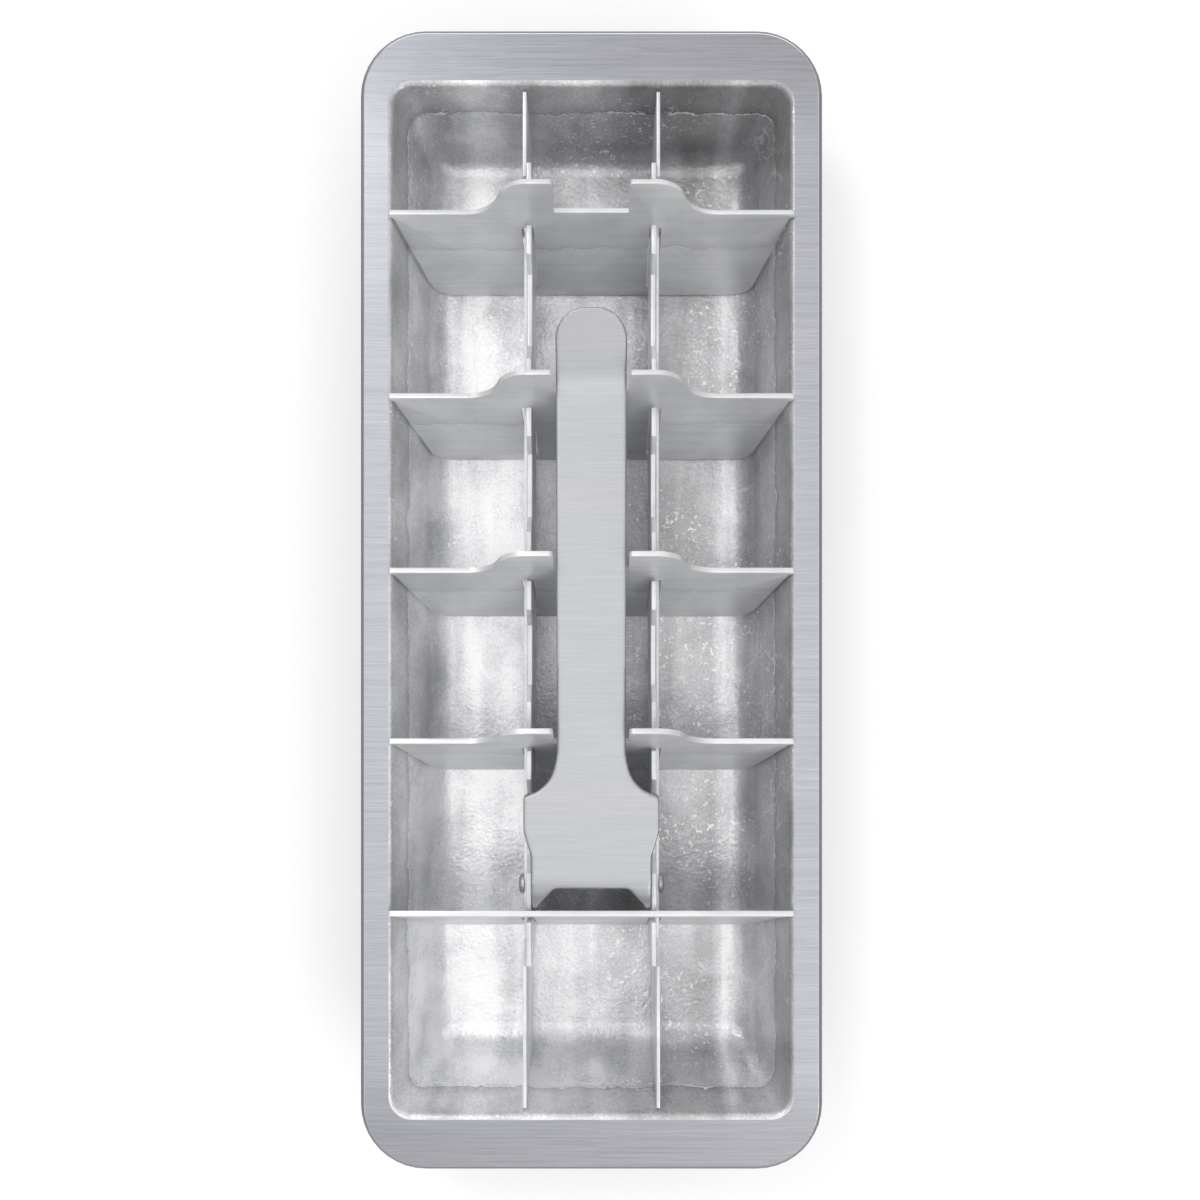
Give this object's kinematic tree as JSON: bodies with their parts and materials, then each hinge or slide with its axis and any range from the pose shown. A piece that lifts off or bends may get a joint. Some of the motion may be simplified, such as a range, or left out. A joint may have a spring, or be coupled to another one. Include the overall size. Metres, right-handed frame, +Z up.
{
  "type": "lever ice cube tray",
  "caption": "Long drawn metal pan with a lift-out grid of leaning cross dividers that a hinged lever and slide bars stand up to break the ice.",
  "frame": {"origin": "centre of the pan's underside, at the height it stands on", "axes": "+X across the pan to the right, +Y along the pan from the lever's pivot towards its tip, +Z up"},
  "size_m": [0.1134, 0.28, 0.0457],
  "materials": {
    "pan_steel": "brushed rim, satin bowl",
    "divider_aluminium": "satin",
    "lever_steel": "fine brushed",
    "rivet_steel": "worn satin"
  },
  "bodies": {
    "pan": {"pan": "pan_steel"},
    "grid": {"long_divider_left": "divider_aluminium", "long_divider_right": "divider_aluminium", "pivot_rivet_left": "rivet_steel", "pivot_rivet_right": "rivet_steel", "guide_rivet_left": "rivet_steel", "guide_rivet_right": "rivet_steel"},
    "slide_bars": {"slide_bar_left": "divider_aluminium", "slide_bar_right": "divider_aluminium"},
    "lever": {"lever": "lever_steel"},
    "divider_1": {"cross_divider_1": "divider_aluminium"},
    "divider_2": {"cross_divider_2": "divider_aluminium"},
    "divider_3": {"cross_divider_3": "divider_aluminium"},
    "divider_4": {"cross_divider_4": "divider_aluminium"},
    "divider_5": {"cross_divider_5": "divider_aluminium"}
  },
  "joints": [
    {"name": "grid_lift", "type": "slide", "parent": "pan", "child": "grid", "axis": [0, 0, 1], "range_m": [0, 0.06]},
    {"name": "lever_pull", "type": "hinge", "parent": "grid", "child": "lever", "pos_m": [0, -0.0715, 0.0244], "axis": [1, 0, 0], "range_deg": [0, 90]},
    {"name": "bars_slide", "type": "slide", "parent": "grid", "child": "slide_bars", "axis": [0, -1, 0], "range_m": [0, 0.00895]},
    {"name": "divider_1_tilt", "type": "hinge", "parent": "grid", "child": "divider_1", "pos_m": [0, 0.0846, 0.0045], "axis": [1, 0, 0], "range_deg": [0, 18.5]},
    {"name": "divider_2_tilt", "type": "hinge", "parent": "grid", "child": "divider_2", "pos_m": [0, 0.0398, 0.0045], "axis": [1, 0, 0], "range_deg": [0, 18.5]},
    {"name": "divider_3_tilt", "type": "hinge", "parent": "grid", "child": "divider_3", "pos_m": [0, -0.0028, 0.0045], "axis": [1, 0, 0], "range_deg": [0, 18.5]},
    {"name": "divider_4_tilt", "type": "hinge", "parent": "grid", "child": "divider_4", "pos_m": [0, -0.0445, 0.0045], "axis": [1, 0, 0], "range_deg": [0, 18.5]},
    {"name": "divider_5_tilt", "type": "hinge", "parent": "grid", "child": "divider_5", "pos_m": [0, -0.0866, 0.0045], "axis": [1, 0, 0], "range_deg": [0, 18.5]}
  ],
  "couplings": [
    {"joint": "bars_slide", "follows": "lever_pull", "m_per_rad": 0.005698},
    {"joint": "divider_1_tilt", "follows": "lever_pull", "ratio": 0.20556},
    {"joint": "divider_2_tilt", "follows": "lever_pull", "ratio": 0.20556},
    {"joint": "divider_3_tilt", "follows": "lever_pull", "ratio": 0.20556},
    {"joint": "divider_4_tilt", "follows": "lever_pull", "ratio": 0.20556},
    {"joint": "divider_5_tilt", "follows": "lever_pull", "ratio": 0.20556}
  ]
}
